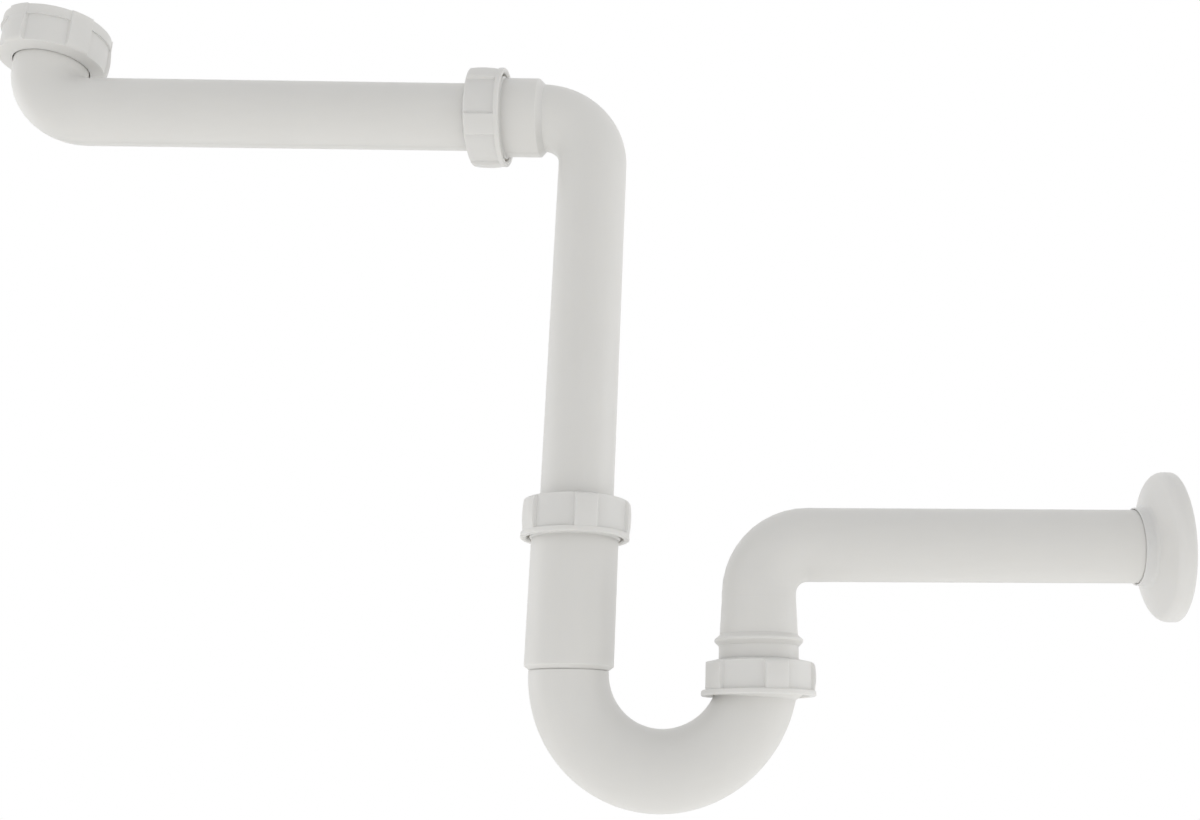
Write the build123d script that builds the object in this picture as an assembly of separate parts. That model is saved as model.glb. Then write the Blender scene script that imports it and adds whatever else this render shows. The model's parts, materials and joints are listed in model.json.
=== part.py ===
"""Space-saving basin trap, G 1 1/4 by 32 mm, in millimetres.

Origin: centre of the gasket face inside the inlet nut. +Z is up along the inlet,
+X runs along the level arm towards the wall, and every pipe axis lies in the XZ plane.
"""
import os
from math import asin, cos, degrees, radians, sin

from build123d import *

# Layout of the pipe axes
SEAT_OVER_ARM = 32.3
INLET_TO_DROP = 262.6
ARM_TO_U_CENTRE = 260.2
LEG_SPACING = 80.0
OUTLET_OVER_U_CENTRE = 54.2
OUTLET_TO_RIM = 180.8

# Tubes
TUBE_R = 16.0
TUBE_BORE_R = 14.1
U_R = 16.8
U_BORE_R = 14.7
INLET_BEND_RADIUS = 20.0
DOWN_BEND_RADIUS = 24.5
OUTLET_BEND_RADIUS = 21.0
END_CHAMFER = 0.8
TAPER_SINK = 0.7

# How far a cut runs past the face that it opens
OVERRUN = 1.0

# Compression joints, heights counted from the nut's mouth
NUT_H = 18.0
NUT_LIP_R = 23.5
NUT_LUG_R = 24.0
NUT_BODY_R = 22.3
NUT_BORE_R = 20.8
NUT_LEAD = 0.7
NUT_HOLE_R = 16.4
NUT_ROOF = 2.2
THREAD_CORE_R = 19.6
THREAD_FROM = 0.6
THREAD_STEP = 0.6
SOCKET_RIM = 11.6
SEAT_FLOOR = 7.8
SEAT_FLOOR_R = 17.14
SEAT_RIM_R = 18.68
SOCKET_BORE_R = 16.35
SEAL_LOW = 8.2
SEAL_TAPER_TOP = 12.4
SEAL_HIGH = 14.0
SEAL_LOW_R = 16.9
SEAL_HIGH_R = 18.6
SEAL_BORE_R = 16.3
WASHER_LOW = 14.3
WASHER_HIGH = 15.5
WASHER_R = 19.6

# Arm joint, lengths counted back from the downpipe's axis
ARM_NUT_MOUTH = 42.2
ARM_SHOULDER_DROP = 2.0
ARM_SHOULDER_ROUND = 1.2
ARM_SOCKET_R = 18.7
ARM_SOCKET_END = 26.0
ARM_SOCKET_FLOOR = 24.5
ARM_SOCKET_TAPER = 3.4
ARM_END = 34.2

# Downpipe joint, lengths counted down from the arm's axis
DROP_NUT_MOUTH = 204.5
DROP_SOCKET_R = 18.8
DROP_SOCKET_TAPER = 2.0
DROP_SOCKET_LEDGE = 1.7
DROP_END = 228.0

# Outlet joint, heights counted from its nut's mouth
OUTLET_NUT_MOUTH_BELOW = 10.0
OUTLET_NUT_H = 15.0
OUTLET_LIP_R = 24.3
OUTLET_LUG_R = 24.3
OUTLET_BODY_R = 22.5
OUTLET_HOLE_R = 17.4
OUTLET_ROOF = 1.9
SHORT_RIM = 7.9
SHORT_THREAD_FROM = 1.1
SHORT_TAPER = 3.2
SHORT_ARC_STOP = 1.38623
PILOT_R = 15.9
PILOT_LOW = 3.4
PILOT_LEAD = 0.5
PILOT_BORE_R = 16.3
PILOT_BORE_LOW = 2.8
OUTLET_SEAL_LOW = 8.2
COLLAR_LOW = 10.0
COLLAR_HIGH = 11.7
COLLAR_R = 19.4
OUTLET_WASHER_LOW = 12.0
OUTLET_WASHER_HIGH = 12.8
OUTLET_WASHER_BORE_R = 17.35
NECK_R = 17.0
BEAD_R = 18.9
BEAD_MID = 22.9
BEAD_HALF = 2.4
BEAD_CREST = 0.5
LEG_FOOT_R = 16.7
LEG_TAPER_HIGH = 40.0

# Inlet joint, heights counted from the gasket face
INLET_NUT_TOP = 12.0
INLET_NUT_H = 20.4
INLET_LIP_R = 23.2
INLET_LIP_H = 5.0
INLET_LUG_R = 24.2
INLET_BODY_R = 22.6
INLET_HOLE_R = 16.5
INLET_ROOF = 2.5
INLET_THREAD_R = 20.95
INLET_CAVITY_R = 20.3
MOUTH_CHAMFER = 0.9
GASKET_T = 2.5
GASKET_BORE_R = 14.6
INLET_COLLAR_T = 3.1
INLET_COLLAR_R = 19.8

# Nut outside
LUGS = 5
LUG_TOP_HALF = 10.5
LUG_FOOT_HALF = 13.5
LUG_CROWN = 0.6
LIP_H = 1.9
LIP_EDGE = 0.4
LIP_SLOPE = 0.5
SHOULDER_DROP = 1.4
SHOULDER_ROUND = 2.0

# Wall flange, lengths counted back from the rim plane
FLANGE_R = 32.6
FLANGE_SIDE = 6.3
FLANGE_ROUND = 4.5
FLANGE_FACE = 11.0
FLANGE_SLEEVE_R = 17.6
FLANGE_FOOT_ROUND = 2.0
FLANGE_DEPTH = 16.0
FLANGE_TIP_R = 16.9
FLANGE_BORE_R = 16.3
FLANGE_WALL = 1.6
PIPE_PAST_RIM = 3.0
MARK_CLEAR = 0.8
MARK_WIDTH = 1.2
MARK_DEPTH = 0.35

# Positions that follow from the above
ARM_Z = -SEAT_OVER_ARM
DROP_X = INLET_TO_DROP
OUTLET_X = DROP_X + LEG_SPACING
U_RADIUS = LEG_SPACING / 2
U_Z = ARM_Z - ARM_TO_U_CENTRE
OUTLET_Z = U_Z + OUTLET_OVER_U_CENTRE
RIM_X = OUTLET_X + OUTLET_TO_RIM
PIPE_END_X = RIM_X + PIPE_PAST_RIM
ARM_NUT_X = DROP_X - ARM_NUT_MOUTH
DROP_NUT_Z = ARM_Z - DROP_NUT_MOUTH
DROP_SOCKET_END = ARM_TO_U_CENTRE - DROP_SOCKET_TAPER
DROP_SOCKET_FLOOR = DROP_SOCKET_END - DROP_SOCKET_LEDGE
OUTLET_NUT_Z = U_Z - OUTLET_NUT_MOUTH_BELOW
U_ARC = 180 - degrees(asin((OUTLET_NUT_MOUTH_BELOW - SHORT_RIM + SHORT_ARC_STOP) / U_RADIUS))
FLANGE_FLOOR = FLANGE_FACE - FLANGE_WALL
MARK_FROM = FLANGE_FLOOR - MARK_CLEAR

# Local planes: each joint is drawn with its nut's mouth at zero and its closed end up
ARM_JOINT = Plane(origin=(ARM_NUT_X, 0, ARM_Z), x_dir=(0, 1, 0), z_dir=(-1, 0, 0))
DROP_JOINT = Plane(origin=(DROP_X, 0, DROP_NUT_Z), x_dir=(1, 0, 0), z_dir=(0, 0, 1))
OUTLET_JOINT = Plane(origin=(OUTLET_X, 0, OUTLET_NUT_Z), x_dir=(1, 0, 0), z_dir=(0, 0, 1))
INLET_JOINT = Plane(origin=(0, 0, INLET_NUT_TOP), x_dir=(-1, 0, 0), z_dir=(0, 0, -1))
PIPE_AXIS = Plane(origin=(RIM_X, 0, OUTLET_Z), x_dir=(0, 0, 1), z_dir=(1, 0, 0))


def turn_face(face):
    """Solid turned about local Z from a flat (radius, height) face."""
    return revolve(Plane.XZ * face, Axis.Z, 360)


def turned(points):
    """Solid turned about local Z from (radius, height) points."""
    return turn_face(make_face(Polyline(*points, close=True)))


def round_corner(face, corner, radius):
    """Flat face with one of its corners rounded."""
    nearest = face.vertices().sort_by_distance(Vector(*corner))[0]
    return fillet(nearest, radius)


def ring(outer_r, inner_r, low, high):
    """Plain ring about local Z."""
    return turned([(inner_r, low), (outer_r, low), (outer_r, high), (inner_r, high)])


def rod(radius, start, end):
    """Cylinder between two points on an axis."""
    way = Vector(end) - Vector(start)
    return Solid.make_cylinder(radius, way.length, Plane(origin=start, z_dir=way))


def elbow(radius, start, way, centre, arc):
    """Bend of a round rod that starts at a point and turns in the XZ plane."""
    disc = Plane(origin=start, z_dir=way) * Circle(radius)
    return revolve(disc, Axis(centre, (0, 1, 0)), arc)


def around(radius, degree):
    """Point on a circle about local Z."""
    return (radius * cos(radians(degree)), radius * sin(radians(degree)), 0)


def lug_body(height, body_r, lug_r):
    """Plain nut body with broad lugs on sloped flanks, proud of the limit that trims them."""
    pitch = 360 / LUGS
    tip_r = lug_r + LUG_CROWN
    top, foot = LUG_TOP_HALF, LUG_FOOT_HALF
    edges = []
    for k in range(LUGS):
        mid = k * pitch
        rise = around(body_r, mid - foot), around(tip_r, mid - top)
        fall = around(tip_r, mid + top), around(body_r, mid + foot)
        valley = around(body_r, mid + pitch / 2)
        edges += [
            Line(*rise),
            ThreePointArc(rise[1], around(tip_r, mid), fall[0]),
            Line(*fall),
            ThreePointArc(fall[1], valley, around(body_r, mid + pitch - foot)),
        ]
    return extrude(make_face(edges), height, dir=(0, 0, 1))


def nut_envelope(height, hole_r, lug_r, lip_h, drop, round_r):
    """Turned outer limit of a nut: crowned lugs under a coned and rounded shoulder."""
    waist = lug_r - LUG_CROWN
    foot = lip_h + LIP_SLOPE
    corner = height - drop
    side = ThreePointArc((waist, foot), (lug_r, (foot + corner) / 2), (waist, corner))
    rest = Polyline((waist, corner), (hole_r, height), (0, height), (0, 0), (waist, 0), (waist, foot))
    return turn_face(round_corner(make_face([side, rest]), (waist, corner), round_r))


def nut(height, body_r, lug_r, lip_r, hole_r, lip_h=LIP_H, drop=SHOULDER_DROP, round_r=SHOULDER_ROUND):
    """Grip nut without its bore, mouth at zero, closed end up."""
    envelope = nut_envelope(height, hole_r, lug_r, lip_h, drop, round_r)
    waist = lug_r - LUG_CROWN
    top = lip_h + LIP_SLOPE
    lip = turned([(0, 0), (lip_r - LIP_EDGE, 0), (lip_r, LIP_EDGE), (lip_r, lip_h), (waist, top), (0, top)])
    hole = rod(hole_r, (0, 0, -OVERRUN), (0, 0, height + OVERRUN))
    return (lug_body(height, body_r, lug_r) & envelope) + lip - hole


def nut_cavity(roof):
    """Inside of a compression nut, with a lead-in at its mouth."""
    mouth_r = NUT_BORE_R + NUT_LEAD
    return turned([(0, -OVERRUN), (mouth_r, -OVERRUN), (mouth_r, 0), (NUT_BORE_R, NUT_LEAD),
                   (NUT_BORE_R, roof), (0, roof)])


def arm_nut():
    """Nut of the arm joint, with a coned shoulder."""
    shoulder = {"drop": ARM_SHOULDER_DROP, "round_r": ARM_SHOULDER_ROUND}
    blank = nut(NUT_H, NUT_BODY_R, NUT_LUG_R, NUT_LIP_R, NUT_HOLE_R, **shoulder)
    return blank - nut_cavity(NUT_H - NUT_ROOF)


def drop_nut():
    """Nut of the downpipe joint, with a rounded shoulder."""
    return nut(NUT_H, NUT_BODY_R, NUT_LUG_R, NUT_LIP_R, NUT_HOLE_R) - nut_cavity(NUT_H - NUT_ROOF)


def outlet_nut():
    """Nut of the short leg."""
    blank = nut(OUTLET_NUT_H, OUTLET_BODY_R, OUTLET_LUG_R, OUTLET_LIP_R, OUTLET_HOLE_R)
    return blank - nut_cavity(OUTLET_NUT_H - OUTLET_ROOF)


def inlet_nut():
    """Union nut of the inlet, with a wider thread bore over the gasket."""
    roof = INLET_NUT_H - INLET_ROOF
    mouth_r = INLET_THREAD_R + MOUTH_CHAMFER
    cavity = turned([(0, -OVERRUN), (mouth_r, -OVERRUN), (mouth_r, 0), (INLET_THREAD_R, MOUTH_CHAMFER),
                     (INLET_THREAD_R, INLET_NUT_TOP), (INLET_CAVITY_R, INLET_NUT_TOP),
                     (INLET_CAVITY_R, roof), (0, roof)])
    blank = nut(INLET_NUT_H, INLET_BODY_R, INLET_LUG_R, INLET_LIP_R, INLET_HOLE_R, lip_h=INLET_LIP_H)
    return blank - cavity


def tapered_seal():
    """Tapered sealing ring of a compression joint."""
    return turned([(SEAL_BORE_R, SEAL_LOW), (SEAL_LOW_R, SEAL_LOW), (SEAL_HIGH_R, SEAL_TAPER_TOP),
                   (SEAL_HIGH_R, SEAL_HIGH), (SEAL_BORE_R, SEAL_HIGH)])


def slip_washer():
    """Thrust ring of a compression joint."""
    return ring(WASHER_R, SOCKET_BORE_R, WASHER_LOW, WASHER_HIGH)


def socket(body_r, length, taper, foot_r):
    """Outside of a threaded socket: mouth up, body down to its length, then a taper to the foot."""
    return turned([(0, SOCKET_RIM), (THREAD_CORE_R, SOCKET_RIM), (THREAD_CORE_R, THREAD_FROM),
                   (body_r, THREAD_FROM - THREAD_STEP), (body_r, -length), (foot_r, -length - taper),
                   (0, -length - taper)])


def socket_bore(floor):
    """Inside of a socket: tapered seat at the mouth, then a plain bore down to its floor."""
    slope = (SEAT_RIM_R - SEAT_FLOOR_R) / (SOCKET_RIM - SEAT_FLOOR)
    rim = SOCKET_RIM + OVERRUN
    return turned([(0, rim), (SEAT_RIM_R + slope * OVERRUN, rim), (SEAT_FLOOR_R, SEAT_FLOOR),
                   (SOCKET_BORE_R, SEAT_FLOOR), (SOCKET_BORE_R, -floor), (0, -floor)])


def chamfered_end(radius, start, end):
    """Tube end with a lead-in chamfer."""
    rods = rod(radius, start, end)
    far = rods.faces().sort_by_distance(Vector(end))[0]
    return chamfer(far.edges(), END_CHAMFER)


def inlet_bend():
    """Inlet leg with collar, elbow and level arm."""
    def run(radius, shell):
        top = (0, 0, -GASKET_T)
        spring = (0, 0, ARM_Z + INLET_BEND_RADIUS)
        centre = (INLET_BEND_RADIUS, 0, ARM_Z + INLET_BEND_RADIUS)
        level = (INLET_BEND_RADIUS, 0, ARM_Z)
        end = (DROP_X - ARM_END, 0, ARM_Z)
        past = (end[0] + OVERRUN, 0, ARM_Z)
        arm = chamfered_end(radius, level, end) if shell else rod(radius, level, past)
        leg = rod(radius, spring, top if shell else (0, 0, OVERRUN))
        return leg + elbow(radius, spring, (0, 0, 1), centre, -90) + arm
    collar = ring(INLET_COLLAR_R, TUBE_BORE_R, -GASKET_T - INLET_COLLAR_T, -GASKET_T)
    return run(TUBE_R, True) + collar - run(TUBE_BORE_R, False)


def inlet_gasket():
    """Flat washer on the inlet collar."""
    return ring(INLET_COLLAR_R, GASKET_BORE_R, -GASKET_T, 0)


def down_bend():
    """Arm socket, elbow and downpipe."""
    def run(radius, shell):
        start = (ARM_NUT_X, 0, ARM_Z)
        spring = (DROP_X - DOWN_BEND_RADIUS, 0, ARM_Z)
        centre = (DROP_X - DOWN_BEND_RADIUS, 0, ARM_Z - DOWN_BEND_RADIUS)
        drop = (DROP_X, 0, ARM_Z - DOWN_BEND_RADIUS)
        end = (DROP_X, 0, ARM_Z - DROP_END)
        past = (DROP_X, 0, end[2] - OVERRUN)
        pipe = chamfered_end(radius, drop, end) if shell else rod(radius, drop, past)
        return rod(radius, start, spring) + elbow(radius, spring, (1, 0, 0), centre, 90) + pipe
    length = ARM_NUT_MOUTH - ARM_SOCKET_END
    outer = ARM_JOINT * socket(ARM_SOCKET_R, length, ARM_SOCKET_TAPER, TUBE_R - TAPER_SINK)
    hollow = run(TUBE_BORE_R, False) + ARM_JOINT * socket_bore(ARM_NUT_MOUTH - ARM_SOCKET_FLOOR)
    return run(TUBE_R, True) + outer - hollow


def u_bend():
    """Long socket leg, U and short threaded leg."""
    def run(radius):
        left = (DROP_X, 0, U_Z)
        centre = (DROP_X + U_RADIUS, 0, U_Z)
        return elbow(radius, left, (0, 0, -1), centre, -U_ARC)
    length = DROP_SOCKET_END - DROP_NUT_MOUTH
    long_leg = DROP_JOINT * socket(DROP_SOCKET_R, length, DROP_SOCKET_TAPER, U_R - TAPER_SINK)
    long_bore = DROP_JOINT * socket_bore(DROP_SOCKET_FLOOR - DROP_NUT_MOUTH)
    low_bore = rod(U_BORE_R, (DROP_X, 0, U_Z), (DROP_X, 0, DROP_NUT_Z))
    foot = SHORT_THREAD_FROM - SHORT_TAPER
    short_leg = OUTLET_JOINT * turned([(0, SHORT_RIM), (THREAD_CORE_R, SHORT_RIM),
                                       (THREAD_CORE_R, SHORT_THREAD_FROM), (U_BORE_R, foot), (0, foot)])
    short_bore = OUTLET_JOINT * rod(PILOT_BORE_R, (0, 0, PILOT_BORE_LOW), (0, 0, SHORT_RIM + OVERRUN))
    hollow = run(U_BORE_R) + low_bore + long_bore + short_bore
    return run(U_R) + long_leg + short_leg - hollow


def outlet_bend():
    """Pilot, collar, neck, bead, elbow and level outlet pipe."""
    foot = OUTLET_JOINT * turned([(0, PILOT_LOW), (PILOT_R - PILOT_LEAD, PILOT_LOW),
                                  (PILOT_R, PILOT_LOW + PILOT_LEAD), (PILOT_R, COLLAR_LOW),
                                  (COLLAR_R, COLLAR_LOW), (COLLAR_R, COLLAR_HIGH),
                                  (NECK_R, COLLAR_HIGH), (NECK_R, BEAD_MID - BEAD_HALF),
                                  (BEAD_R, BEAD_MID - BEAD_CREST), (BEAD_R, BEAD_MID + BEAD_CREST),
                                  (LEG_FOOT_R, BEAD_MID + BEAD_HALF), (TUBE_R, LEG_TAPER_HIGH),
                                  (0, LEG_TAPER_HIGH)])

    def run(radius, shell):
        low = (OUTLET_X, 0, OUTLET_NUT_Z + (LEG_TAPER_HIGH if shell else PILOT_LOW - OVERRUN))
        spring = (OUTLET_X, 0, OUTLET_Z - OUTLET_BEND_RADIUS)
        centre = (OUTLET_X + OUTLET_BEND_RADIUS, 0, OUTLET_Z - OUTLET_BEND_RADIUS)
        level = (OUTLET_X + OUTLET_BEND_RADIUS, 0, OUTLET_Z)
        end = (PIPE_END_X, 0, OUTLET_Z)
        past = (end[0] + OVERRUN, 0, OUTLET_Z)
        pipe = chamfered_end(radius, level, end) if shell else rod(radius, level, past)
        return rod(radius, low, spring) + elbow(radius, spring, (0, 0, 1), centre, 90) + pipe
    mark = PIPE_AXIS * ring(TUBE_R + OVERRUN, TUBE_R - MARK_DEPTH, -MARK_FROM, -MARK_FROM + MARK_WIDTH)
    return run(TUBE_R, True) + foot - run(TUBE_BORE_R, False) - mark


def outlet_seal():
    """Flat sealing ring under the outlet collar."""
    return ring(COLLAR_R, PILOT_BORE_R, OUTLET_SEAL_LOW, COLLAR_LOW)


def outlet_slip_washer():
    """Thrust ring over the outlet collar."""
    return ring(COLLAR_R, OUTLET_WASHER_BORE_R, OUTLET_WASHER_LOW, OUTLET_WASHER_HIGH)


def wall_flange():
    """Dished hollow rosette with a short sleeve on the pipe, rim plane at zero."""
    inner_r = FLANGE_R - FLANGE_WALL
    inner_side = FLANGE_SIDE - FLANGE_WALL
    edge = (FLANGE_R, -FLANGE_SIDE)
    foot = (FLANGE_SLEEVE_R, -FLANGE_FACE)
    hollow = (inner_r, -inner_side)
    outer = [(FLANGE_R, 0), edge, foot, (FLANGE_TIP_R, -FLANGE_DEPTH)]
    inner = [(FLANGE_BORE_R, -FLANGE_DEPTH), (FLANGE_BORE_R, -FLANGE_FLOOR), hollow, (inner_r, 0)]
    section = make_face(Polyline(*outer, *inner, close=True))
    section = round_corner(section, edge, FLANGE_ROUND)
    section = round_corner(section, foot, FLANGE_FOOT_ROUND)
    section = round_corner(section, hollow, FLANGE_ROUND - FLANGE_WALL)
    return turn_face(section)


def nodes():
    """Every piece in place, by node name."""
    return {
        "inlet_nut": INLET_JOINT * inlet_nut(),
        "inlet_gasket": inlet_gasket(),
        "inlet_bend": inlet_bend(),
        "arm_seal": ARM_JOINT * tapered_seal(),
        "arm_slip_washer": ARM_JOINT * slip_washer(),
        "arm_nut": ARM_JOINT * arm_nut(),
        "down_bend": down_bend(),
        "drop_seal": DROP_JOINT * tapered_seal(),
        "drop_slip_washer": DROP_JOINT * slip_washer(),
        "drop_nut": DROP_JOINT * drop_nut(),
        "u_bend": u_bend(),
        "outlet_seal": OUTLET_JOINT * outlet_seal(),
        "outlet_slip_washer": OUTLET_JOINT * outlet_slip_washer(),
        "outlet_nut": OUTLET_JOINT * outlet_nut(),
        "outlet_bend": outlet_bend(),
        "wall_flange": PIPE_AXIS * wall_flange(),
    }


os.makedirs("parts", exist_ok=True)
for name, shape in nodes().items():
    export_step(shape, f"parts/{name}.step")
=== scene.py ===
"""Looks of the space-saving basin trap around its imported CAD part, in metres."""
import json
import math

import bmesh
import bpy
from mathutils import Matrix, Vector


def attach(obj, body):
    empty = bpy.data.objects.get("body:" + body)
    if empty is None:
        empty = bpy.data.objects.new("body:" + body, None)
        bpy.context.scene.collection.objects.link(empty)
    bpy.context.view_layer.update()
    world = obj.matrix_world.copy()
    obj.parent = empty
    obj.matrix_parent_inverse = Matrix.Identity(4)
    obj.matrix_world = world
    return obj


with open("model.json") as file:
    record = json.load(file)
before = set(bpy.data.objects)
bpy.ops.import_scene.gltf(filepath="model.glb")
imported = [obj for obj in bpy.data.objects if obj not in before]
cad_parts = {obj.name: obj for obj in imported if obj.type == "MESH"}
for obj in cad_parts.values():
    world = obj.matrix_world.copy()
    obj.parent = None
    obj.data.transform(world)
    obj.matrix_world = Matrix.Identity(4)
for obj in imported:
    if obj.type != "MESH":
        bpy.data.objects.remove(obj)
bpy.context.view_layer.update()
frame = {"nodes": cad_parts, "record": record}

MM = 0.001

# Pipe axes, bends and nuts' mouths, in millimetres, as in the CAD
ARM_Z = -32.3
DROP_X = 262.6
LEG_SPACING = 80.0
ARM_TO_U_CENTRE = 260.2
OUTLET_OVER_U_CENTRE = 54.2
INLET_BEND_RADIUS = 20.0
DOWN_BEND_RADIUS = 24.5
OUTLET_BEND_RADIUS = 21.0
TUBE_R = 16.0
U_R = 16.8
INLET_NUT_MOUTH_ABOVE = 12.0
ARM_NUT_MOUTH = 42.2
DROP_NUT_MOUTH = 204.5
OUTLET_NUT_MOUTH_BELOW = 10.0
OUTLET_X = DROP_X + LEG_SPACING
U_RADIUS = LEG_SPACING / 2
U_Z = ARM_Z - ARM_TO_U_CENTRE
OUTLET_Z = U_Z + OUTLET_OVER_U_CENTRE

# Threads, in millimetres, with low and high end counted from each nut's mouth
THREAD_PITCH = 2.309
THREAD_FOOT_HALF = 0.40 * THREAD_PITCH
THREAD_CREST_HALF = 0.10 * THREAD_PITCH
THREAD_SINK = 0.2
THREAD_END_SHARE = 0.2
STEPS_PER_TURN = 48
MALE_ROOT_R = 19.6
MALE_CREST_R = 20.5
FEMALE_ROOT_R = 20.95
FEMALE_CREST_R = 19.85
INLET_THREAD_ENDS = (2.0, 10.8)
SOCKET_THREAD_ENDS = (2.0, 10.4)
SHORT_LEG_THREAD_ENDS = (2.4, 6.7)

# Gate marks, in millimetres
GATE_R = 2.2
GATE_TOP_R = 0.92 * GATE_R
GATE_H = 0.7
GATE_SINK = 0.25
GATE_RIM = 0.9
GATE_DIMPLE = 0.3
GATE_ROUNDING = 0.15
GATE_ROUNDING_STEPS = 2
GATE_SIDES = 28

# Meshes made here: edges past this angle stay sharp, heights this close in metres are one
SHARP_ANGLE = math.radians(35)
SAME_HEIGHT = 1e-7

# Moulded surface: noise as scale and detail, lengths in metres
RIPPLE_NOISE = (75.0, 2.0)
GRAIN_NOISE = (1500.0, 1.0)
CLOUD_NOISE = (24.0, 3.0)
POLISH_NOISE = (160.0, 3.0)
POLISH_SPAN = (0.3, 0.7)
SEAM_CORE = 0.00008
SEAM_EDGE = 0.0003
BUMP_DISTANCE = 0.001
BEVEL_SAMPLES = 6
RUB_START = 0.995
RUB_FULL = 0.9
PLASTIC_IOR = 1.49
GLOW = 0.35
GLOW_RADIUS = (1.0, 0.96, 0.9)
GLOW_DEPTH = 0.003

# Floor and surroundings, in metres
TRAP_CENTRE = (0.26, 0.0, -0.16)
FLOOR_Z = -0.95
FLOOR_HALF = 14.0
FLOOR_LIFT = 0.16
FLOOR_NOISE = (1.5, 2.0)
FLOOR_DARK = (0.85, 0.85, 0.845)
FLOOR_LIGHT = (0.87, 0.87, 0.865)
FLOOR_ROUGHNESS = 0.9
WORLD_BELOW = (0.86, 0.855, 0.84)
WORLD_ABOVE = (0.70, 0.70, 0.702)
WORLD_RISE_Z = 0.6
WORLD_RISE_FRONT = 0.35
WHITE = (1.0, 1.0, 1.0)

# Side lamps, size in metres and beam angle in degrees
SIDE_LAMP_SIZE = (1.2, 1.0)
SIDE_LAMP_SPREAD = 110

# Camera at the photograph's viewing angle: place in metres, axes, lens in millimetres
CAMERA_PLACE = (0.33247, -0.54164, -0.32961)
CAMERA_RIGHT = (0.99964, -0.02674, 0.00084)
CAMERA_UP = (-0.00873, -0.29623, 0.95508)
CAMERA_BACK = (-0.02529, -0.95474, -0.29635)
CAMERA_LENS = 37.5
CAMERA_SENSOR = 36.0
CAMERA_SHIFT = (-0.1408, -0.0282)
CAMERA_CLIP = (0.01, 50.0)


def upright(origin, along):
    """Matrix that stands local Z along an axis at a point given in millimetres."""
    turn = Vector(along).to_track_quat("Z", "Y").to_matrix().to_4x4()
    return Matrix.Translation(Vector(origin) * MM) @ turn


INLET_JOINT = upright((0, 0, INLET_NUT_MOUTH_ABOVE), (0, 0, -1))
ARM_JOINT = upright((DROP_X - ARM_NUT_MOUTH, 0, ARM_Z), (-1, 0, 0))
DROP_JOINT = upright((DROP_X, 0, ARM_Z - DROP_NUT_MOUTH), (0, 0, 1))
OUTLET_JOINT = upright((OUTLET_X, 0, U_Z - OUTLET_NUT_MOUTH_BELOW), (0, 0, 1))


def noise(tree, place, kind):
    """Noise texture at a place, from its scale and detail."""
    scale, detail = kind
    texture = tree.nodes.new("ShaderNodeTexNoise")
    texture.inputs["Scale"].default_value = scale
    texture.inputs["Detail"].default_value = detail
    tree.links.new(place, texture.inputs["Vector"])
    return texture.outputs["Fac"]


def reckon(tree, operation, first, second):
    """Math node on sockets or plain numbers."""
    step = tree.nodes.new("ShaderNodeMath")
    step.operation = operation
    for slot, value in enumerate((first, second)):
        if isinstance(value, (int, float)):
            step.inputs[slot].default_value = value
        else:
            tree.links.new(value, step.inputs[slot])
    return step.outputs["Value"]


def fade(tree, value, low, high, start, end):
    """Value mapped from one range to another, held at its ends."""
    ramp = tree.nodes.new("ShaderNodeMapRange")
    ramp.inputs["From Min"].default_value = low
    ramp.inputs["From Max"].default_value = high
    ramp.inputs["To Min"].default_value = start
    ramp.inputs["To Max"].default_value = end
    tree.links.new(value, ramp.inputs["Value"])
    return ramp.outputs["Result"]


def moulded_surface_group():
    """Shared moulded surface: ripple, fine grain, parting line and rounded edges."""
    group = bpy.data.node_groups.new("moulded_surface", "ShaderNodeTree")
    for name in ("Ripple", "Grain", "Seam", "Edge"):
        group.interface.new_socket(name, in_out="INPUT", socket_type="NodeSocketFloat")
    group.interface.new_socket("Normal", in_out="OUTPUT", socket_type="NodeSocketVector")
    for name in ("Cloud", "Polish", "Rub"):
        group.interface.new_socket(name, in_out="OUTPUT", socket_type="NodeSocketFloat")
    given = group.nodes.new("NodeGroupInput")
    result = group.nodes.new("NodeGroupOutput")
    spot = group.nodes.new("ShaderNodeTexCoord").outputs["Object"]

    # Slow sink marks and fine grain
    ripple = reckon(group, "MULTIPLY", noise(group, spot, RIPPLE_NOISE), given.outputs["Ripple"])
    grain = reckon(group, "MULTIPLY", noise(group, spot, GRAIN_NOISE), given.outputs["Grain"])

    # Parting line where the two mould halves meet, in the plane of the pipe axes
    split = group.nodes.new("ShaderNodeSeparateXYZ")
    group.links.new(spot, split.inputs["Vector"])
    off = reckon(group, "ABSOLUTE", split.outputs["Y"], 0.0)
    near = fade(group, off, SEAM_CORE, SEAM_EDGE, 1.0, 0.0)
    line = reckon(group, "MULTIPLY", near, given.outputs["Seam"])
    height = reckon(group, "ADD", reckon(group, "ADD", ripple, grain), line)

    # Rounded edges under the fine relief
    bevel = group.nodes.new("ShaderNodeBevel")
    bevel.samples = BEVEL_SAMPLES
    bump = group.nodes.new("ShaderNodeBump")
    bump.inputs["Distance"].default_value = BUMP_DISTANCE
    group.links.new(given.outputs["Edge"], bevel.inputs["Radius"])
    group.links.new(height, bump.inputs["Height"])
    group.links.new(bevel.outputs["Normal"], bump.inputs["Normal"])

    # Rub mask where the rounded normal leaves the true one
    true = group.nodes.new("ShaderNodeNewGeometry").outputs["True Normal"]
    along = group.nodes.new("ShaderNodeVectorMath")
    along.operation = "DOT_PRODUCT"
    group.links.new(bevel.outputs["Normal"], along.inputs[0])
    group.links.new(true, along.inputs[1])
    rub = fade(group, along.outputs["Value"], RUB_START, RUB_FULL, 0.0, 1.0)

    group.links.new(bump.outputs["Normal"], result.inputs["Normal"])
    group.links.new(noise(group, spot, CLOUD_NOISE), result.inputs["Cloud"])
    group.links.new(noise(group, spot, POLISH_NOISE), result.inputs["Polish"])
    group.links.new(rub, result.inputs["Rub"])
    return group


MOULDED_SURFACE = moulded_surface_group()


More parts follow.
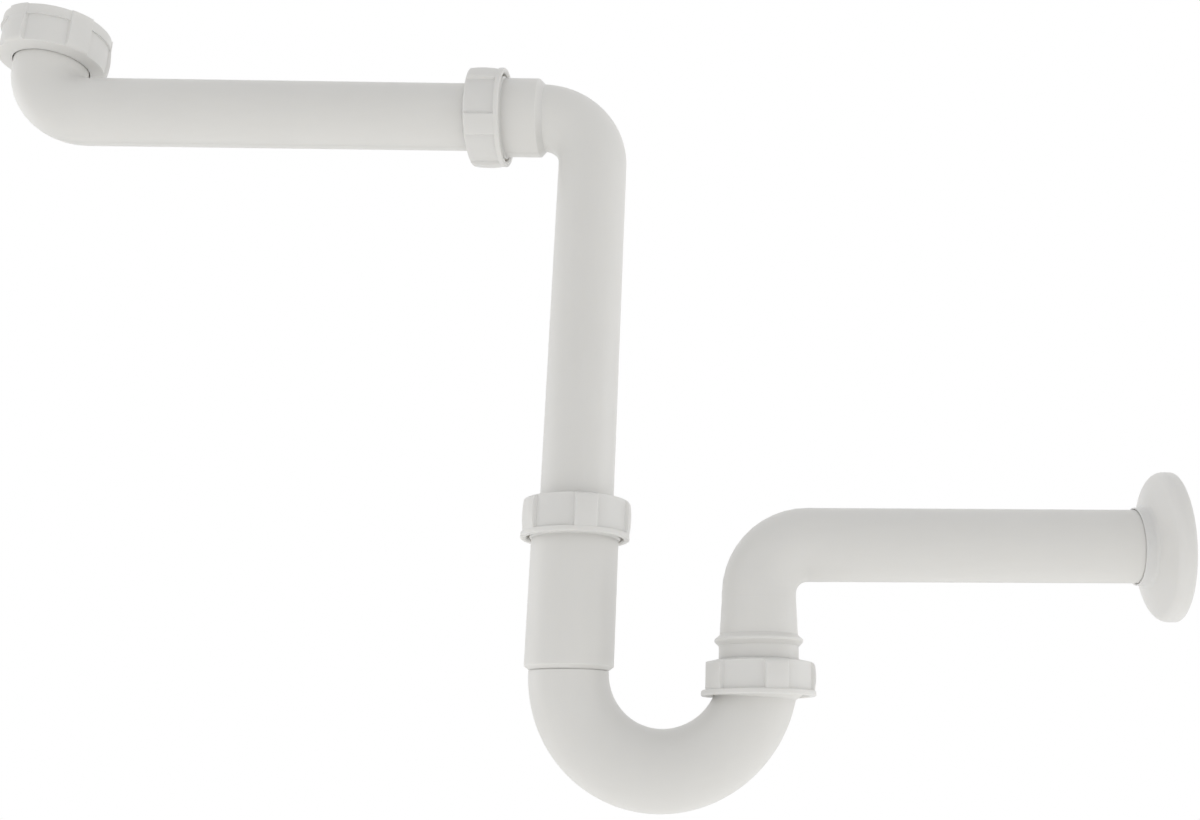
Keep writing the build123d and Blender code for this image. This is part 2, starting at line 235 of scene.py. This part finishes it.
def blend_colour(tree, factor, first, second):
    """Colour between two plain colours or sockets."""
    mix = tree.nodes.new("ShaderNodeMix")
    mix.data_type = "RGBA"
    for slot, value in (("A", first), ("B", second)):
        if isinstance(value, tuple):
            mix.inputs[slot].default_value = (*value, 1.0)
        else:
            tree.links.new(value, mix.inputs[slot])
    tree.links.new(factor, mix.inputs["Factor"])
    return mix.outputs["Result"]


def moulding(name, dark, light, rubbed, rough, relief, glow):
    """Moulded plastic or rubber from its three tones, roughness span, relief and inner glow."""
    material = bpy.data.materials.new(name)
    material.use_nodes = True
    tree = material.node_tree
    tree.nodes.clear()
    output = tree.nodes.new("ShaderNodeOutputMaterial")
    shader = tree.nodes.new("ShaderNodeBsdfPrincipled")
    surface = tree.nodes.new("ShaderNodeGroup")
    surface.node_tree = MOULDED_SURFACE
    for socket, value in relief.items():
        surface.inputs[socket].default_value = value
    clouded = blend_colour(tree, surface.outputs["Cloud"], dark, light)
    tone = blend_colour(tree, surface.outputs["Rub"], clouded, rubbed)
    tree.links.new(tone, shader.inputs["Base Color"])
    roughness = fade(tree, surface.outputs["Polish"], *POLISH_SPAN, *rough)
    tree.links.new(roughness, shader.inputs["Roughness"])
    tree.links.new(surface.outputs["Normal"], shader.inputs["Normal"])
    shader.inputs["IOR"].default_value = PLASTIC_IOR
    shader.inputs["Subsurface Weight"].default_value = glow
    shader.inputs["Subsurface Radius"].default_value = GLOW_RADIUS
    shader.inputs["Subsurface Scale"].default_value = GLOW_DEPTH
    tree.links.new(shader.outputs["BSDF"], output.inputs["Surface"])
    return material


PIPE_WHITE = moulding(
    "white_pipe_polypropylene",
    dark=(0.70, 0.694, 0.676),
    light=(0.74, 0.733, 0.714),
    rubbed=(0.77, 0.764, 0.75),
    rough=(0.36, 0.46),
    relief={"Ripple": 0.05, "Grain": 0.012, "Seam": 0.16, "Edge": 0.0004},
    glow=GLOW)
NUT_WHITE = moulding(
    "white_nut_polypropylene",
    dark=(0.70, 0.695, 0.68),
    light=(0.735, 0.73, 0.714),
    rubbed=(0.775, 0.77, 0.757),
    rough=(0.40, 0.52),
    relief={"Ripple": 0.04, "Grain": 0.03, "Seam": 0.0, "Edge": 0.0005},
    glow=GLOW)
FLANGE_WHITE = moulding(
    "white_flange_polypropylene",
    dark=(0.705, 0.7, 0.688),
    light=(0.74, 0.735, 0.722),
    rubbed=(0.77, 0.765, 0.753),
    rough=(0.32, 0.42),
    relief={"Ripple": 0.04, "Grain": 0.01, "Seam": 0.0, "Edge": 0.0003},
    glow=GLOW)
WASHER_WHITE = moulding(
    "natural_washer_polyethylene",
    dark=(0.66, 0.66, 0.62),
    light=(0.71, 0.71, 0.67),
    rubbed=(0.74, 0.74, 0.70),
    rough=(0.42, 0.52),
    relief={"Ripple": 0.04, "Grain": 0.02, "Seam": 0.0, "Edge": 0.0002},
    glow=GLOW)
SEAL_BLACK = moulding(
    "black_seal_rubber",
    dark=(0.02, 0.02, 0.021),
    light=(0.03, 0.03, 0.031),
    rubbed=(0.05, 0.05, 0.05),
    rough=(0.55, 0.7),
    relief={"Ripple": 0.06, "Grain": 0.06, "Seam": 0.0, "Edge": 0.0002},
    glow=0.0)

SLOT_FINISH = {"white_moulding": PIPE_WHITE, "slip_washer": WASHER_WHITE, "seal": SEAL_BLACK}


def finish_of(node, slot):
    """Finish of a CAD node, with the nuts' and the flange's own whites."""
    if node.endswith("_nut"):
        return NUT_WHITE
    if node == "wall_flange":
        return FLANGE_WHITE
    return SLOT_FINISH[slot]


for subpart in frame["record"]["subparts"]:
    mesh = frame["nodes"][subpart["node"]].data
    mesh.materials.clear()
    mesh.materials.append(finish_of(subpart["node"], subpart["material_slot"]))


def add_piece(name, shape, place, finish, body):
    """Object from a bmesh, placed in its mesh, riding on a body."""
    bmesh.ops.transform(shape, matrix=place, verts=shape.verts)
    bmesh.ops.recalc_face_normals(shape, faces=shape.faces)
    mesh = bpy.data.meshes.new(name)
    shape.to_mesh(mesh)
    shape.free()
    mesh.materials.append(finish)
    for face in mesh.polygons:
        face.use_smooth = True
    mesh.set_sharp_from_angle(angle=SHARP_ANGLE)
    piece = bpy.data.objects.new(name, mesh)
    bpy.context.collection.objects.link(piece)
    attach(piece, body)


def add_thread(name, root_r, crest_r, ends, joint, finish, body):
    """Helical ridge spun about a joint's axis, run out into the wall at both ends."""
    low, high = ends
    way = 1 if crest_r > root_r else -1
    foot_r = root_r - way * THREAD_SINK
    outline = ((foot_r, -THREAD_FOOT_HALF), (crest_r, -THREAD_CREST_HALF),
               (crest_r, THREAD_CREST_HALF), (foot_r, THREAD_FOOT_HALF))
    shape = bmesh.new()
    corners = [shape.verts.new((radius * MM, 0, (low + rise) * MM)) for radius, rise in outline]
    profile = shape.faces.new(corners)
    turns = (high - low) / THREAD_PITCH
    steps = int(turns * STEPS_PER_TURN)
    climb = Vector((0, 0, THREAD_PITCH / STEPS_PER_TURN * MM))
    bmesh.ops.spin(shape, geom=[*corners, *profile.edges, profile], axis=(0, 0, 1), cent=(0, 0, 0),
                   dvec=climb, angle=2 * math.pi * steps / STEPS_PER_TURN, steps=steps,
                   use_merge=False, use_duplicate=False)
    for corner in shape.verts:
        radius = math.hypot(corner.co.x, corner.co.y) / MM
        rise = corner.co.z / MM
        turns_to_end = min(rise - low, high - rise) / THREAD_PITCH
        share = min(1.0, max(0.0, turns_to_end + THREAD_END_SHARE))
        wanted = foot_r + (radius - foot_r) * share
        corner.co.x *= wanted / radius
        corner.co.y *= wanted / radius
    add_piece(name, shape, joint, finish, body)


add_thread("inlet_nut_thread", FEMALE_ROOT_R, FEMALE_CREST_R, INLET_THREAD_ENDS,
           INLET_JOINT, NUT_WHITE, "inlet_nut")
add_thread("arm_socket_thread", MALE_ROOT_R, MALE_CREST_R, SOCKET_THREAD_ENDS,
           ARM_JOINT, PIPE_WHITE, "down_bend")
add_thread("drop_socket_thread", MALE_ROOT_R, MALE_CREST_R, SOCKET_THREAD_ENDS,
           DROP_JOINT, PIPE_WHITE, "u_bend")
add_thread("short_leg_thread", MALE_ROOT_R, MALE_CREST_R, SHORT_LEG_THREAD_ENDS,
           OUTLET_JOINT, PIPE_WHITE, "u_bend")


def add_gate_mark(name, x, z, tube_r, body):
    """Round gate stub with a dimple on the far side of a bend."""
    shape = bmesh.new()
    bmesh.ops.create_cone(shape, cap_ends=True, cap_tris=False, segments=GATE_SIDES,
                          radius1=GATE_R * MM, radius2=GATE_TOP_R * MM, depth=GATE_H * MM)
    top = max(shape.faces, key=lambda face: face.calc_center_median().z)
    bmesh.ops.inset_individual(shape, faces=[top], thickness=GATE_RIM * MM)
    bmesh.ops.translate(shape, verts=top.verts, vec=(0, 0, -GATE_DIMPLE * MM))
    top_z = GATE_H / 2 * MM
    rim = [edge for edge in shape.edges
           if all(abs(corner.co.z - top_z) < SAME_HEIGHT for corner in edge.verts)]
    bmesh.ops.bevel(shape, geom=rim, offset=GATE_ROUNDING * MM, offset_type="OFFSET", affect="EDGES",
                    segments=GATE_ROUNDING_STEPS, profile=0.5, material=-1)
    place = upright((x, tube_r + GATE_H / 2 - GATE_SINK, z), (0, 1, 0))
    add_piece(name, shape, place, PIPE_WHITE, body)


# Gates sit half way round each bend, over its axis
DIAGONAL = math.sqrt(0.5)
inlet_reach = INLET_BEND_RADIUS * (1 - DIAGONAL)
down_reach = DOWN_BEND_RADIUS * (1 - DIAGONAL)
outlet_reach = OUTLET_BEND_RADIUS * (1 - DIAGONAL)
add_gate_mark("inlet_bend_gate", inlet_reach, ARM_Z + inlet_reach, TUBE_R, "inlet_bend")
add_gate_mark("down_bend_gate", DROP_X - down_reach, ARM_Z - down_reach, TUBE_R, "down_bend")
add_gate_mark("u_bend_gate", DROP_X + U_RADIUS, U_Z - U_RADIUS, U_R, "u_bend")
add_gate_mark("outlet_bend_gate", OUTLET_X + outlet_reach, OUTLET_Z - outlet_reach,
              TUBE_R, "outlet_bend")


def seen_directly(tree):
    """One for camera, gloss and glass rays, and zero for diffuse ones."""
    path = tree.nodes.new("ShaderNodeLightPath").outputs
    plain = reckon(tree, "MAXIMUM", path["Is Camera Ray"], path["Is Glossy Ray"])
    return reckon(tree, "MAXIMUM", plain, path["Is Transmission Ray"])


def pale_floor_finish():
    """Matt pale floor with a faint cloud, lifted towards white where it is seen."""
    material = bpy.data.materials.new("pale_floor")
    material.use_nodes = True
    tree = material.node_tree
    shader = tree.nodes["Principled BSDF"]
    spot = tree.nodes.new("ShaderNodeTexCoord").outputs["Object"]
    tone = blend_colour(tree, noise(tree, spot, FLOOR_NOISE), FLOOR_DARK, FLOOR_LIGHT)
    tree.links.new(tone, shader.inputs["Base Color"])
    shader.inputs["Roughness"].default_value = FLOOR_ROUGHNESS
    shader.inputs["Emission Color"].default_value = (*WHITE, 1.0)
    seen = reckon(tree, "MULTIPLY", seen_directly(tree), FLOOR_LIFT)
    tree.links.new(seen, shader.inputs["Emission Strength"])
    return material


def add_floor():
    """Plain pale floor below the hanging trap."""
    shape = bmesh.new()
    bmesh.ops.create_grid(shape, x_segments=1, y_segments=1, size=FLOOR_HALF)
    bmesh.ops.translate(shape, verts=shape.verts, vec=(TRAP_CENTRE[0], 0, FLOOR_Z))
    mesh = bpy.data.meshes.new("floor")
    shape.to_mesh(mesh)
    shape.free()
    mesh.materials.append(pale_floor_finish())
    floor = bpy.data.objects.new("floor", mesh)
    bpy.context.collection.objects.link(floor)


add_floor()


def add_soft_light(name, place, size, power, spread, colour):
    """Area light aimed at the trap, hidden from the camera, with its beam angle in degrees."""
    lamp = bpy.data.lights.new(name, "AREA")
    lamp.shape = "RECTANGLE"
    lamp.size = size[0]
    lamp.size_y = size[1]
    lamp.energy = power
    lamp.spread = math.radians(spread)
    lamp.color = colour
    holder = bpy.data.objects.new(name, lamp)
    bpy.context.collection.objects.link(holder)
    holder.visible_camera = False
    holder.location = place
    holder.rotation_mode = "QUATERNION"
    holder.rotation_quaternion = (Vector(TRAP_CENTRE) - Vector(place)).to_track_quat("-Z", "Y")


add_soft_light("under_light", place=(0.26, -0.1, -0.6), size=(3.6, 2.8), power=10.0,
               spread=180, colour=(1.0, 0.985, 0.95))
add_soft_light("left_light", place=(-1.5, 0.35, -0.05), size=SIDE_LAMP_SIZE, power=1.2,
               spread=SIDE_LAMP_SPREAD, colour=WHITE)
add_soft_light("right_light", place=(2.1, 0.2, -0.1), size=SIDE_LAMP_SIZE, power=2.0,
               spread=SIDE_LAMP_SPREAD, colour=(1.0, 0.995, 0.985))


def add_studio_world():
    """Soft surroundings, dimmer above and in front; camera, gloss and glass rays see plain white."""
    world = bpy.data.worlds.new("studio")
    bpy.context.scene.world = world
    world.use_nodes = True
    tree = world.node_tree
    tree.nodes.clear()
    output = tree.nodes.new("ShaderNodeOutputWorld")
    split = tree.nodes.new("ShaderNodeSeparateXYZ")
    direction = tree.nodes.new("ShaderNodeTexCoord").outputs["Generated"]
    tree.links.new(direction, split.inputs["Vector"])
    above = reckon(tree, "MULTIPLY", split.outputs["Z"], WORLD_RISE_Z)
    behind = reckon(tree, "MULTIPLY", split.outputs["Y"], WORLD_RISE_FRONT)
    rise = fade(tree, reckon(tree, "SUBTRACT", above, behind), -1.0, 1.0, 0.0, 1.0)
    around = tree.nodes.new("ShaderNodeBackground")
    tree.links.new(blend_colour(tree, rise, WORLD_BELOW, WORLD_ABOVE), around.inputs["Color"])
    white = tree.nodes.new("ShaderNodeBackground")
    white.inputs["Color"].default_value = (*WHITE, 1.0)
    pick = tree.nodes.new("ShaderNodeMixShader")
    tree.links.new(seen_directly(tree), pick.inputs["Fac"])
    tree.links.new(around.outputs["Background"], pick.inputs[1])
    tree.links.new(white.outputs["Background"], pick.inputs[2])
    tree.links.new(pick.outputs["Shader"], output.inputs["Surface"])


add_studio_world()


def add_camera():
    """Camera at the photograph's viewing angle."""
    lens = bpy.data.cameras.new("camera")
    lens.sensor_width = CAMERA_SENSOR
    lens.lens = CAMERA_LENS
    lens.shift_x = CAMERA_SHIFT[0]
    lens.shift_y = CAMERA_SHIFT[1]
    lens.clip_start = CAMERA_CLIP[0]
    lens.clip_end = CAMERA_CLIP[1]
    camera = bpy.data.objects.new("camera", lens)
    bpy.context.collection.objects.link(camera)
    stand = Matrix((CAMERA_RIGHT, CAMERA_UP, CAMERA_BACK)).transposed().to_4x4()
    stand.translation = Vector(CAMERA_PLACE)
    camera.matrix_world = stand
    bpy.context.scene.camera = camera


add_camera()
bpy.context.scene.view_settings.view_transform = "Standard"
